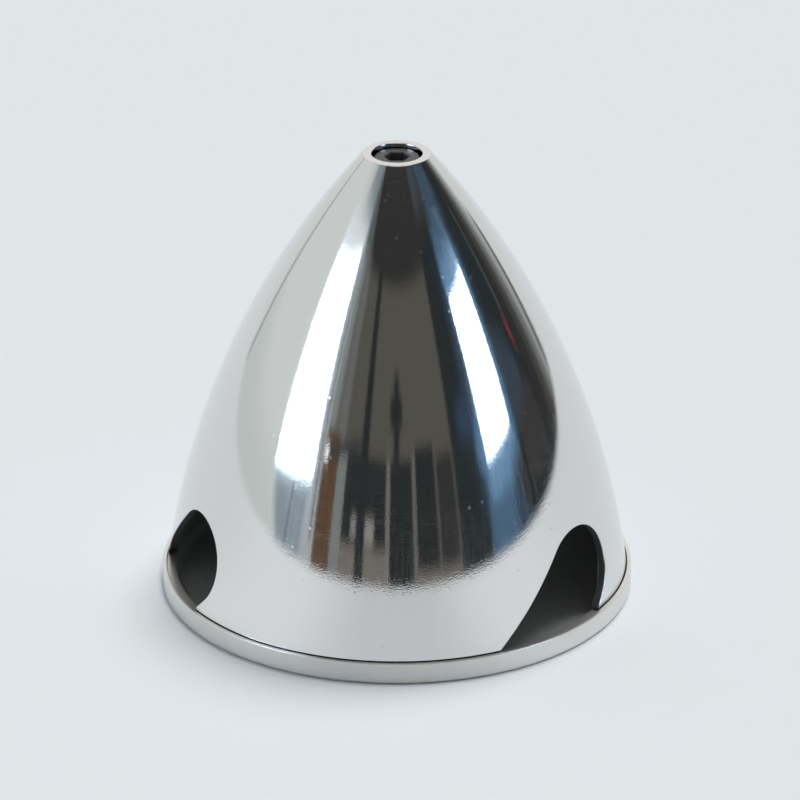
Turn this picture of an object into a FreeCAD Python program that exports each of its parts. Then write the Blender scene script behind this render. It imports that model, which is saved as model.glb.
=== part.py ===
"""Three-blade propeller spinner of turned aluminium, 3.5 inch size.

Frame: origin at the centre of the backplate's rear face, +Z towards the nose, +X along the first
blade's axis. Millimetres. Every size is a cell of the sheet, and every sketch and feature is bound
to those cells.
"""

import FreeCAD, Part
import math
import os

import Sketcher

START, END, CENTRE = 1, 2, 3
ORIGIN = (-1, 1)
X_AXIS, Y_AXIS = -1, -2
SAME_PLACE = 1e-4

DRIVING_SIZES = {
    # Backplate
    "rim_radius": 44.45,
    "rim_depth": 4.1,
    "rim_foot_break": 0.3,
    "rim_edge_break": 0.15,
    "lip_width": 0.77,
    "lip_step": 0.6,
    "lip_inner_break": 0.1,
    "web_gauge": 1.2,
    "dish_fillet": 1.5,
    "hub_radius": 17.0,
    "hub_depth": 4.1,
    "hub_edge_break": 0.4,
    "bore_mouth_break": 0.4,
    # Crankshaft that the spinner is made for
    "crank_radius": 5.0,
    "crank_clearance": 0.05,
    "crank_thread_radius": 4.375,
    "crank_thread_reach": 18.0,
    # Cone
    "register_clearance": 0.05,
    "cone_length": 83.8,
    "ogive_radius": 163.6,
    "shell_wall": 1.7,
    "nose_land": 1.6,
    "nose_edge_break": 0.3,
    "counterbore_break": 0.15,
    "nose_web": 7.5,
    "roof_fillet": 3.0,
    # Blade openings
    "blade_count": 3,
    "blade_axis_rise": 9.4,
    "slot_width": 17.5,
    "slot_lean": 45.0,
    "slot_foot_round": 0.8,
    # Nose screw
    "screw_radius": 2.5,
    "screw_hole_clearance": 0.25,
    "screw_tip_break": 0.5,
    "head_radius": 4.25,
    "head_depth": 5.0,
    "head_edge_break": 0.4,
    "head_clearance": 0.45,
    "head_sink": 0.7,
    "socket_flats": 4.0,
    "socket_reach": 2.5,
    "socket_mouth_break": 0.2,
    "socket_turn": 35.0,
    "thread_grip": 12.0,
    "thread_clearance": 0.03,
    # Propeller nut
    "nut_length": 32.0,
    "nut_flange_radius": 11.0,
    "nut_flange_gauge": 2.0,
    "nut_flats": 17.0,
    "nut_hex_depth": 9.0,
    "nut_stem_radius": 6.5,
    "nut_edge_break": 0.8,
    "nut_mouth_break": 0.6,
    # Propeller washer
    "washer_radius": 12.0,
    "washer_gauge": 2.5,
    "washer_clearance": 0.25,
    "washer_edge_break": 0.25,
}

# Places worked out from the driving sizes. Each is an expression of the sheet's cells.
REGISTER_RADIUS = "(sizes.rim_radius - sizes.lip_width)"
SEAT_HEIGHT = "(sizes.rim_depth - sizes.lip_step)"
FOOT_RADIUS = f"({REGISTER_RADIUS} - sizes.register_clearance)"
INNER_FOOT_RADIUS = f"({FOOT_RADIUS} - sizes.shell_wall)"
NOSE_HEIGHT = f"({SEAT_HEIGHT} + sizes.cone_length)"
COUNTERBORE_RADIUS = "(sizes.head_radius + sizes.head_clearance)"
NOSE_RADIUS = f"({COUNTERBORE_RADIUS} + sizes.nose_land)"
HEAD_SEAT_HEIGHT = f"({NOSE_HEIGHT} - sizes.head_sink - sizes.head_depth)"
ROOF_HEIGHT = f"({HEAD_SEAT_HEIGHT} - sizes.nose_web)"
SCREW_HOLE_RADIUS = "(sizes.screw_radius + sizes.screw_hole_clearance)"
CRANK_BORE_RADIUS = "(sizes.crank_radius + sizes.crank_clearance)"
WASHER_TOP = "(sizes.hub_depth + sizes.washer_gauge)"
NUT_TOP = f"({WASHER_TOP} + sizes.nut_length)"
SCREW_TIP_HEIGHT = f"({NUT_TOP} - sizes.thread_grip)"
TAPPED_RADIUS = "(sizes.screw_radius + sizes.thread_clearance)"
BLADE_AXIS_HEIGHT = f"({SEAT_HEIGHT} + sizes.blade_axis_rise)"


doc = FreeCAD.newDocument("spinner")
sheet = doc.addObject("Spreadsheet::Sheet", "sizes")
for row, (alias, size) in enumerate(DRIVING_SIZES.items(), start=1):
    sheet.set(f"A{row}", alias)
    sheet.set(f"B{row}", str(size))
    sheet.setAlias(f"B{row}", alias)
doc.recompute()


def value(expression):
    """The number that an expression of the sheet's cells has."""
    return float(sheet.evalExpression(expression))


def origin_feature(body, role):
    """One of the body's own origin planes or axes."""
    return next(feature for feature in body.Origin.OriginFeatures if feature.Role == role)


def new_body(name):
    """An empty body whose label names its file."""
    body = doc.addObject("PartDesign::Body", name)
    body.Label = name
    return body


def new_sketch(body, name, role, lift=None):
    """A sketch on one of the body's origin planes, lifted along the plane's normal."""
    sketch = body.newObject("Sketcher::SketchObject", name)
    sketch.AttachmentSupport = [(origin_feature(body, role), "")]
    sketch.MapMode = "FlatFace"
    if lift:
        sketch.setExpression("AttachmentOffset.Base.z", lift)
    return sketch


def bind(sketch, expression, kind, *where):
    """Add a dimension to the sketch and tie it to an expression."""
    number = value(expression)
    index = sketch.addConstraint(Sketcher.Constraint(kind, *where, number))
    sketch.setExpression(f"Constraints[{index}]", expression)


def arc_round(centre, radius, start, end):
    """The anticlockwise arc round a centre from the direction of start to that of end."""
    turns = [math.atan2(point.y - centre.y, point.x - centre.x) for point in (start, end)]
    if turns[1] < turns[0]:
        turns[1] += 2 * math.pi
    return Part.ArcOfCircle(Part.Circle(centre, FreeCAD.Vector(0, 0, 1), radius), *turns)


def centre_left_of(start, end, radius):
    """Centre of the arc from start to end that turns left."""
    chord = end - start
    left = FreeCAD.Vector(-chord.y, chord.x, 0).normalize()
    return (start + end) * 0.5 + left * math.sqrt(radius**2 - (chord.Length / 2) ** 2)


def draw_outline(sketch, corners):
    """Draw a closed outline of straight lines through corners given as pairs of expressions."""
    points = [FreeCAD.Vector(value(across), value(up), 0) for across, up in corners]
    for start, end in zip(points, points[1:] + points[:1]):
        sketch.addGeometry(Part.LineSegment(start, end))
    for index, (across, up) in enumerate(corners):
        before = (index - 1) % len(corners)
        sketch.addConstraint(Sketcher.Constraint("Coincident", before, END, index, START))
        bind(sketch, across, "DistanceX", *ORIGIN, index, START)
        bind(sketch, up, "DistanceY", *ORIGIN, index, START)


def revolve(body, sketch, kind="PartDesign::Revolution"):
    """Turn a half section once round the body's Z axis, adding or cutting by its kind."""
    turned = body.newObject(kind, f"{sketch.Name}_turned")
    turned.Profile = sketch
    turned.ReferenceAxis = (origin_feature(body, "Z_Axis"), [""])
    turned.Angle = 360
    doc.recompute()
    return turned


def ring_edges(feature, rings):
    """Names of the feature's circular edges, each given by expressions of radius and height."""
    names = []
    for radius, height in rings:
        wanted = (value(radius), value(height))
        for index, edge in enumerate(feature.Shape.Edges, start=1):
            curve = edge.Curve
            if not isinstance(curve, Part.Circle):
                continue
            if math.dist(wanted, (curve.Radius, curve.Center.z)) < SAME_PLACE:
                names.append(f"Edge{index}")
    return names


def straight_edges(feature, height):
    """Names of the feature's straight edges that lie level at a height."""
    level = value(height)
    return [
        f"Edge{index}"
        for index, edge in enumerate(feature.Shape.Edges, start=1)
        if isinstance(edge.Curve, Part.Line)
        and all(abs(corner.Point.z - level) < SAME_PLACE for corner in edge.Vertexes)
    ]


def round_rings(body, name, base, size, rings):
    """Fillet some of a turned piece's circular edges."""
    fillet = body.newObject("PartDesign::Fillet", name)
    fillet.Base = (base, ring_edges(base, rings))
    fillet.setExpression("Radius", size)
    doc.recompute()
    return fillet


def break_rings(body, name, base, size, rings):
    """Chamfer some of a turned piece's circular edges."""
    chamfer = body.newObject("PartDesign::Chamfer", name)
    chamfer.Base = (base, ring_edges(base, rings))
    chamfer.setExpression("Size", size)
    doc.recompute()
    return chamfer


def draw_hexagon(sketch, flats):
    """Draw a hexagon about the sketch's origin, a corner on its X axis, by its width across flats."""
    radius = value(flats) / math.sqrt(3)
    corners = [
        FreeCAD.Vector(radius * math.cos(turn), radius * math.sin(turn), 0)
        for turn in (math.radians(60 * step) for step in range(6))
    ]
    for start, end in zip(corners, corners[1:] + corners[:1]):
        sketch.addGeometry(Part.LineSegment(start, end))
    corner_circle = Part.Circle()
    corner_circle.Radius = radius
    ring = sketch.addGeometry(corner_circle)
    sketch.toggleConstruction(ring)
    for side in range(6):
        sketch.addConstraint(Sketcher.Constraint("Coincident", side, END, (side + 1) % 6, START))
        sketch.addConstraint(Sketcher.Constraint("PointOnObject", side, START, ring))
    for side in range(1, 6):
        sketch.addConstraint(Sketcher.Constraint("Equal", 0, side))
    sketch.addConstraint(Sketcher.Constraint("Coincident", ring, CENTRE, *ORIGIN))
    sketch.addConstraint(Sketcher.Constraint("PointOnObject", 0, START, X_AXIS))
    bind(sketch, f"{flats} / cos(30 deg)", "Diameter", ring)


def build_backplate():
    """A dished disc: hub face, thin web, and a rim with a stepped seat for the cone's foot."""
    body = new_body("backplate")
    section = new_sketch(body, "plate_section", "XZ_Plane")
    draw_outline(
        section,
        [
            (CRANK_BORE_RADIUS, "0"),
            ("sizes.rim_radius", "0"),
            ("sizes.rim_radius", "sizes.rim_depth"),
            (REGISTER_RADIUS, "sizes.rim_depth"),
            (REGISTER_RADIUS, SEAT_HEIGHT),
            (INNER_FOOT_RADIUS, SEAT_HEIGHT),
            (INNER_FOOT_RADIUS, "sizes.web_gauge"),
            ("sizes.hub_radius", "sizes.web_gauge"),
            ("sizes.hub_radius", "sizes.hub_depth"),
            (CRANK_BORE_RADIUS, "sizes.hub_depth"),
        ],
    )
    plate = revolve(body, section)
    dish = [(INNER_FOOT_RADIUS, "sizes.web_gauge"), ("sizes.hub_radius", "sizes.web_gauge")]
    plate = round_rings(body, "dish_fillets", plate, "sizes.dish_fillet", dish)
    foot = [("sizes.rim_radius", "0")]
    plate = break_rings(body, "rim_foot", plate, "sizes.rim_foot_break", foot)
    rim_edge = [("sizes.rim_radius", "sizes.rim_depth")]
    plate = round_rings(body, "rim_edge", plate, "sizes.rim_edge_break", rim_edge)
    lip_edge = [(REGISTER_RADIUS, "sizes.rim_depth")]
    plate = break_rings(body, "lip_edge", plate, "sizes.lip_inner_break", lip_edge)
    hub_edge = [("sizes.hub_radius", "sizes.hub_depth")]
    plate = break_rings(body, "hub_edge", plate, "sizes.hub_edge_break", hub_edge)
    mouths = [(CRANK_BORE_RADIUS, "0"), (CRANK_BORE_RADIUS, "sizes.hub_depth")]
    break_rings(body, "bore_mouths", plate, "sizes.bore_mouth_break", mouths)
    return body


def draw_shell_section(section):
    """Half section of the cone before its openings: two arcs on one centre, nose and counterbore."""
    corners = [
        (FOOT_RADIUS, SEAT_HEIGHT),
        (NOSE_RADIUS, NOSE_HEIGHT),
        (COUNTERBORE_RADIUS, NOSE_HEIGHT),
        (COUNTERBORE_RADIUS, HEAD_SEAT_HEIGHT),
        (SCREW_HOLE_RADIUS, HEAD_SEAT_HEIGHT),
        (SCREW_HOLE_RADIUS, ROOF_HEIGHT),
    ]
    points = [FreeCAD.Vector(value(across), value(up), 0) for across, up in corners]
    foot, nose = points[0], points[1]
    outer_radius = value("sizes.ogive_radius")
    inner_radius = value("sizes.ogive_radius - sizes.shell_wall")
    centre = centre_left_of(foot, nose, outer_radius)

    def inside_at(height):
        reach = math.sqrt(inner_radius**2 - (height - centre.y) ** 2)
        return FreeCAD.Vector(centre.x + reach, height, 0)

    roof = inside_at(value(ROOF_HEIGHT))
    inner_foot = inside_at(foot.y)
    section.addGeometry(arc_round(centre, outer_radius, foot, nose))
    for start, end in zip(points[1:], points[2:] + [roof]):
        section.addGeometry(Part.LineSegment(start, end))
    inner_arc = section.addGeometry(arc_round(centre, inner_radius, inner_foot, roof))
    closing = section.addGeometry(Part.LineSegment(inner_foot, foot))
    roof_line = inner_arc - 1
    for line in range(roof_line):
        section.addConstraint(Sketcher.Constraint("Coincident", line, END, line + 1, START))
    section.addConstraint(Sketcher.Constraint("Coincident", roof_line, END, inner_arc, END))
    section.addConstraint(Sketcher.Constraint("Coincident", inner_arc, START, closing, START))
    section.addConstraint(Sketcher.Constraint("Coincident", closing, END, 0, START))
    section.addConstraint(Sketcher.Constraint("Coincident", inner_arc, CENTRE, 0, CENTRE))
    section.addConstraint(Sketcher.Constraint("Horizontal", roof_line))
    section.addConstraint(Sketcher.Constraint("Horizontal", closing))
    for index, (across, up) in enumerate(corners):
        bind(section, across, "DistanceX", *ORIGIN, index, START)
        bind(section, up, "DistanceY", *ORIGIN, index, START)
    bind(section, "sizes.ogive_radius", "Radius", 0)
    bind(section, "sizes.ogive_radius - sizes.shell_wall", "Radius", inner_arc)
    return roof.x


def draw_opening(opening):
    """Outline of one blade opening: a leaning slot, round at the blade, run out past the cone's foot.

    Its axes are the tangent and the height, seen along the blade from outside. Where the slot runs
    out, the two corners that it leaves on the cone's foot are rounded.
    """
    lean = math.radians(value("sizes.slot_lean"))
    half = value("sizes.slot_width") / 2
    round_off = value("sizes.slot_foot_round")
    foot = value(SEAT_HEIGHT)
    centre = FreeCAD.Vector(0, value(BLADE_AXIS_HEIGHT), 0)
    down = FreeCAD.Vector(-math.sin(lean), -math.cos(lean), 0)
    across = FreeCAD.Vector(-math.cos(lean), math.sin(lean), 0)
    open_top, shut_top = centre + across * half, centre - across * half
    open_pip = open_top + across * round_off
    shut_pip = shut_top - across * round_off
    open_pip = open_pip + down * ((open_pip.y - foot - round_off) / math.cos(lean))
    shut_pip = shut_pip + down * ((shut_pip.y - foot - round_off) / math.cos(lean))
    open_side, shut_side = open_pip - across * round_off, shut_pip + across * round_off
    drop = FreeCAD.Vector(0, -round_off, 0)
    open_foot, shut_foot = open_pip + drop, shut_pip + drop
    run_out = -foot
    open_low = FreeCAD.Vector(open_foot.x, run_out, 0)
    shut_low = FreeCAD.Vector(shut_foot.x, run_out, 0)

    # Each arc is stored anticlockwise, so the two foot arcs run from the foot to the side or back.
    end_arc = opening.addGeometry(arc_round(centre, half, shut_top, open_top))
    open_line = opening.addGeometry(Part.LineSegment(open_top, open_side))
    open_arc = opening.addGeometry(arc_round(open_pip, round_off, open_foot, open_side))
    open_edge = opening.addGeometry(Part.LineSegment(open_foot, open_low))
    low_edge = opening.addGeometry(Part.LineSegment(open_low, shut_low))
    shut_edge = opening.addGeometry(Part.LineSegment(shut_low, shut_foot))
    shut_arc = opening.addGeometry(arc_round(shut_pip, round_off, shut_side, shut_foot))
    shut_line = opening.addGeometry(Part.LineSegment(shut_side, shut_top))
    for pair in (
        (end_arc, END, open_line, START),
        (open_line, END, open_arc, END),
        (shut_arc, START, shut_line, START),
        (shut_line, END, end_arc, START),
    ):
        opening.addConstraint(Sketcher.Constraint("Tangent", *pair))
    for pair in (
        (open_arc, START, open_edge, START),
        (open_edge, END, low_edge, START),
        (low_edge, END, shut_edge, START),
        (shut_edge, END, shut_arc, END),
    ):
        opening.addConstraint(Sketcher.Constraint("Coincident", *pair))
    for edge, foot_arc in ((open_edge, open_arc), (shut_edge, shut_arc)):
        opening.addConstraint(Sketcher.Constraint("Vertical", edge))
        opening.addConstraint(Sketcher.Constraint("PointOnObject", foot_arc, CENTRE, edge))
    opening.addConstraint(Sketcher.Constraint("Horizontal", low_edge))
    opening.addConstraint(Sketcher.Constraint("PointOnObject", end_arc, CENTRE, Y_AXIS))
    opening.addConstraint(Sketcher.Constraint("Equal", open_arc, shut_arc))
    opening.addConstraint(Sketcher.Constraint("Parallel", open_line, shut_line))
    bind(opening, "sizes.slot_width", "Diameter", end_arc)
    bind(opening, "sizes.slot_foot_round", "Radius", open_arc)
    bind(opening, BLADE_AXIS_HEIGHT, "DistanceY", *ORIGIN, end_arc, CENTRE)
    bind(opening, SEAT_HEIGHT, "DistanceY", *ORIGIN, open_edge, START)
    bind(opening, SEAT_HEIGHT, "DistanceY", *ORIGIN, shut_edge, END)
    bind(opening, SEAT_HEIGHT, "DistanceY", open_edge, END, *ORIGIN)
    rise = opening.addConstraint(Sketcher.Constraint("Angle", shut_line, math.pi / 2 - lean))
    opening.setExpression(f"Constraints[{rise}]", "90 deg - sizes.slot_lean * 1 deg")


def build_cone():
    """The spinner's shell: an ogive turned to an even wall, with a leaning opening for each blade."""
    body = new_body("spinner_cone")
    section = new_sketch(body, "shell_section", "XZ_Plane")
    roof_reach = draw_shell_section(section)
    shell = revolve(body, section)
    roof = [(repr(roof_reach), ROOF_HEIGHT)]
    shell = round_rings(body, "roof_round", shell, "sizes.roof_fillet", roof)
    nose_edge = [(NOSE_RADIUS, NOSE_HEIGHT)]
    shell = round_rings(body, "nose_edge", shell, "sizes.nose_edge_break", nose_edge)
    mouth = [(COUNTERBORE_RADIUS, NOSE_HEIGHT)]
    shell = break_rings(body, "counterbore_mouth", shell, "sizes.counterbore_break", mouth)
    opening = new_sketch(body, "blade_opening", "YZ_Plane")
    draw_opening(opening)
    pocket = body.newObject("PartDesign::Pocket", "first_opening")
    pocket.Profile = opening
    pocket.Type = "ThroughAll"
    pocket.Reversed = True
    doc.recompute()
    pattern = body.newObject("PartDesign::PolarPattern", "blade_openings")
    pattern.Originals = [pocket]
    pattern.Axis = (origin_feature(body, "Z_Axis"), [""])
    pattern.Angle = 360
    pattern.setExpression("Occurrences", "sizes.blade_count")
    body.Tip = pattern
    doc.recompute()
    return body


def build_nose_screw():
    """Socket cap screw from the nose down into the nut, its socket turned to where it came tight."""
    body = new_body("nose_screw")
    head_top = f"({HEAD_SEAT_HEIGHT} + sizes.head_depth)"
    section = new_sketch(body, "screw_section", "XZ_Plane")
    draw_outline(
        section,
        [
            ("0", SCREW_TIP_HEIGHT),
            ("sizes.screw_radius", SCREW_TIP_HEIGHT),
            ("sizes.screw_radius", HEAD_SEAT_HEIGHT),
            ("sizes.head_radius", HEAD_SEAT_HEIGHT),
            ("sizes.head_radius", head_top),
            ("0", head_top),
        ],
    )
    screw = revolve(body, section)
    tip = [("sizes.screw_radius", SCREW_TIP_HEIGHT)]
    screw = break_rings(body, "tip_edge", screw, "sizes.screw_tip_break", tip)
    head_edge = [("sizes.head_radius", head_top)]
    round_rings(body, "head_edge", screw, "sizes.head_edge_break", head_edge)
    socket = new_sketch(body, "socket_outline", "XY_Plane", head_top)
    draw_hexagon(socket, "sizes.socket_flats")
    pocket = body.newObject("PartDesign::Pocket", "socket")
    pocket.Profile = socket
    pocket.setExpression("Length", "sizes.socket_reach")
    doc.recompute()
    mouth = body.newObject("PartDesign::Chamfer", "socket_mouth")
    mouth.Base = (pocket, straight_edges(pocket, head_top))
    mouth.setExpression("Size", "sizes.socket_mouth_break")
    body.setExpression("Placement.Rotation.Angle", "sizes.socket_turn * 1 deg")
    doc.recompute()
    return body


def build_prop_nut():
    """Adapter nut: flange and hexagon on the crankshaft's thread, and a stem tapped for the screw."""
    body = new_body("prop_nut")
    flange_top = f"({WASHER_TOP} + sizes.nut_flange_gauge)"
    hexagon_top = f"({flange_top} + sizes.nut_hex_depth)"
    thread_end = f"({WASHER_TOP} + sizes.crank_thread_reach)"
    section = new_sketch(body, "nut_section", "XZ_Plane")
    draw_outline(
        section,
        [
            ("sizes.crank_thread_radius", WASHER_TOP),
            ("sizes.nut_flange_radius", WASHER_TOP),
            ("sizes.nut_flange_radius", flange_top),
            ("sizes.nut_stem_radius", flange_top),
            ("sizes.nut_stem_radius", NUT_TOP),
            (TAPPED_RADIUS, NUT_TOP),
            (TAPPED_RADIUS, thread_end),
            ("sizes.crank_thread_radius", thread_end),
        ],
    )
    nut = revolve(body, section)
    mouth = [("sizes.crank_thread_radius", WASHER_TOP)]
    nut = break_rings(body, "thread_mouth", nut, "sizes.nut_mouth_break", mouth)
    stem_edge = [("sizes.nut_stem_radius", NUT_TOP)]
    break_rings(body, "stem_edge", nut, "sizes.nut_edge_break", stem_edge)
    outline = new_sketch(body, "hexagon_outline", "XY_Plane", flange_top)
    draw_hexagon(outline, "sizes.nut_flats")
    bore = Part.Circle()
    bore.Radius = value("sizes.crank_thread_radius")
    core = outline.addGeometry(bore)
    outline.addConstraint(Sketcher.Constraint("Coincident", core, CENTRE, *ORIGIN))
    bind(outline, "2 * sizes.crank_thread_radius", "Diameter", core)
    hexagon = body.newObject("PartDesign::Pad", "hexagon")
    hexagon.Profile = outline
    hexagon.setExpression("Length", "sizes.nut_hex_depth")
    doc.recompute()
    corner = "(sizes.nut_flats / 2 / cos(30 deg))"
    fall = f"(({corner} - sizes.nut_flats / 2) * tan(30 deg))"
    crown = new_sketch(body, "crown_section", "XZ_Plane")
    draw_outline(
        crown,
        [
            ("sizes.nut_flats / 2", hexagon_top),
            (corner, f"{hexagon_top} - {fall}"),
            (corner, hexagon_top),
        ],
    )
    revolve(body, crown, "PartDesign::Groove")
    return body


def build_prop_washer():
    """Flat washer under the nut."""
    body = new_body("prop_washer")
    hole = "(sizes.crank_radius + sizes.washer_clearance)"
    section = new_sketch(body, "washer_section", "XZ_Plane")
    draw_outline(
        section,
        [
            (hole, "sizes.hub_depth"),
            ("sizes.washer_radius", "sizes.hub_depth"),
            ("sizes.washer_radius", WASHER_TOP),
            (hole, WASHER_TOP),
        ],
    )
    washer = revolve(body, section)
    edges = [("sizes.washer_radius", "sizes.hub_depth"), ("sizes.washer_radius", WASHER_TOP)]
    break_rings(body, "washer_edges", washer, "sizes.washer_edge_break", edges)
    return body


def check_model(pieces):
    """Stop before anything is written if a feature failed or a piece isn't one sound solid."""
    for thing in doc.Objects:
        if {"Invalid", "Error"} & set(thing.State):
            raise RuntimeError(f"{thing.Label} failed: {thing.State}")
    for piece in pieces:
        shape = piece.Shape
        if shape.isNull() or not shape.isValid() or len(shape.Solids) != 1:
            raise RuntimeError(f"{piece.Label} is not one sound solid")


pieces = [
    build_backplate(),
    build_cone(),
    build_nose_screw(),
    build_prop_nut(),
    build_prop_washer(),
]
doc.recompute()
check_model(pieces)
os.makedirs("parts", exist_ok=True)
for piece in pieces:
    piece.Shape.exportStep(f"parts/{piece.Label}.step")
    box = piece.Shape.BoundBox
    print(f"{piece.Label}: {piece.Shape.Volume:.1f} mm3, z {box.ZMin:.2f} to {box.ZMax:.2f}")
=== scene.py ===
"""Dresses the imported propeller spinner: polished shell, turned backplate, screw, nut and washer."""

import logging
import math
from dataclasses import dataclass, replace
from enum import Enum
from typing import Any, Iterable, Mapping, Optional, Sequence, Union

import bpy
import numpy as np
from bpy.types import ID, Material, Mesh, Node, NodeSocket, NodeTree, Object
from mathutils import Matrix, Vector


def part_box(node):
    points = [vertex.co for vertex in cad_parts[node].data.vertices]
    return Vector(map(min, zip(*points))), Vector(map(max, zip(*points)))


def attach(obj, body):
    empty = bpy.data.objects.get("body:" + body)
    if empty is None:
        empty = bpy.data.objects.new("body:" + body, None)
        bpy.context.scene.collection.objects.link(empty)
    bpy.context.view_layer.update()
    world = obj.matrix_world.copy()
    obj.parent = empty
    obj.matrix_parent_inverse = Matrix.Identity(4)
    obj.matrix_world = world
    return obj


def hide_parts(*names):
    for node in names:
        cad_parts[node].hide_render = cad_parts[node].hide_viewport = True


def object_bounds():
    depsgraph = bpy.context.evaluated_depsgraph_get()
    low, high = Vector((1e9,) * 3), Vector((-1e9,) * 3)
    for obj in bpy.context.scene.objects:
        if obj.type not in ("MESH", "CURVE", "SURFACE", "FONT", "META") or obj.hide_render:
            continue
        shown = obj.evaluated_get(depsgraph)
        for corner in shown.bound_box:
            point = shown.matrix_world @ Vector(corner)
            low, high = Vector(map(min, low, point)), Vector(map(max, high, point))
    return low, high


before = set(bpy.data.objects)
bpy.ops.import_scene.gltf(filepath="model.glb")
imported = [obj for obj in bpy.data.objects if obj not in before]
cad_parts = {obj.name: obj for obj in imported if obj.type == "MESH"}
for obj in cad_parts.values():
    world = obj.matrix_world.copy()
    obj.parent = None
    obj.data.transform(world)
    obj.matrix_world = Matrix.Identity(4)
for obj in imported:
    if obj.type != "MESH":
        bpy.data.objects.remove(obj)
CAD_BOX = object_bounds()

LOG = logging.getLogger("spinner")
MM = 0.001
BODY = "root"
SAME_POINT = 1e-7
AXIS_TURN = 2 * math.pi
DEGREES = 180 / math.pi

Point = tuple[float, float]
Colour = tuple[float, float, float]
Key = Union[str, int]


# ---- Node graphs ----


class Channel:
    """A number on a node socket that takes part in Python arithmetic."""

    def __init__(self, graph: "Graph", socket: NodeSocket) -> None:
        """Hold the socket and the graph that new nodes go to."""
        self.graph = graph
        self.socket = socket

    def __add__(self, other: "Value") -> "Channel":
        """Sum of this and another value."""
        return self.graph.maths("ADD", self, other)

    def __sub__(self, other: "Value") -> "Channel":
        """This less another value."""
        return self.graph.maths("SUBTRACT", self, other)

    def __rsub__(self, other: "Value") -> "Channel":
        """Another value less this."""
        return self.graph.maths("SUBTRACT", other, self)

    def __mul__(self, other: "Value") -> "Channel":
        """Product of this and another value."""
        return self.graph.maths("MULTIPLY", self, other)

    def __truediv__(self, other: "Value") -> "Channel":
        """This over another value."""
        return self.graph.maths("DIVIDE", self, other)

    def __rtruediv__(self, other: "Value") -> "Channel":
        """Another value over this."""
        return self.graph.maths("DIVIDE", other, self)

    __radd__, __rmul__ = __add__, __mul__


Value = Union[Channel, float]
Inputs = Mapping[Key, Any]


class Graph:
    """A node tree, with the few ways that this file adds nodes to it."""

    def __init__(self, tree: NodeTree) -> None:
        """Start from an emptied tree."""
        self.tree = tree
        tree.nodes.clear()

    @staticmethod
    def pick(sockets: Iterable[NodeSocket], key: Key) -> NodeSocket:
        """Find a socket.

        Args:
            sockets: The node's inputs or outputs.
            key: A position, an identifier or the name of a socket in use.

        Returns:
            The socket.
        """
        found = list(sockets)
        if isinstance(key, int):
            return found[key]
        exact = [socket for socket in found if socket.identifier == key]
        named = [socket for socket in found if socket.name == key and socket.enabled]
        return (exact or named)[0]

    def feed(self, socket: NodeSocket, value: Any) -> None:
        """Link a value to a socket, or set the socket to a plain number, colour or datablock."""
        if isinstance(value, Channel):
            value = value.socket
        if isinstance(value, NodeSocket):
            self.tree.links.new(value, socket)
        else:
            socket.default_value = value

    def add(self, kind: str, inputs: Optional[Inputs] = None, **settings: Any) -> Node:
        """Add a node, set it up and fill its sockets.

        Args:
            kind: The node's type.
            inputs: Values or links by socket.
            settings: The node's properties, which are set first.

        Returns:
            The new node.
        """
        node = self.tree.nodes.new(kind)
        for name, setting in settings.items():
            setattr(node, name, setting)
        for key, value in (inputs or {}).items():
            self.feed(self.pick(node.inputs, key), value)
        return node

    def output(self, node: Node, key: Key) -> Channel:
        """One output of a node as a channel."""
        return Channel(self, self.pick(node.outputs, key))

    def maths(self, operation: str, *values: Value) -> Channel:
        """Join numbers by one operation of a Math node."""
        return self.output(self.add("ShaderNodeMath", dict(enumerate(values)), operation=operation), 0)

    def combine(self, across: Value, along: Value, up: Value) -> NodeSocket:
        """Three numbers as one vector."""
        return self.add("ShaderNodeCombineXYZ", {0: across, 1: along, 2: up}).outputs[0]

    def split(self, vector: NodeSocket) -> tuple[Channel, ...]:
        """The three numbers of a vector."""
        node = self.add("ShaderNodeSeparateXYZ", {0: vector})
        return tuple(self.output(node, axis) for axis in range(3))


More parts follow.
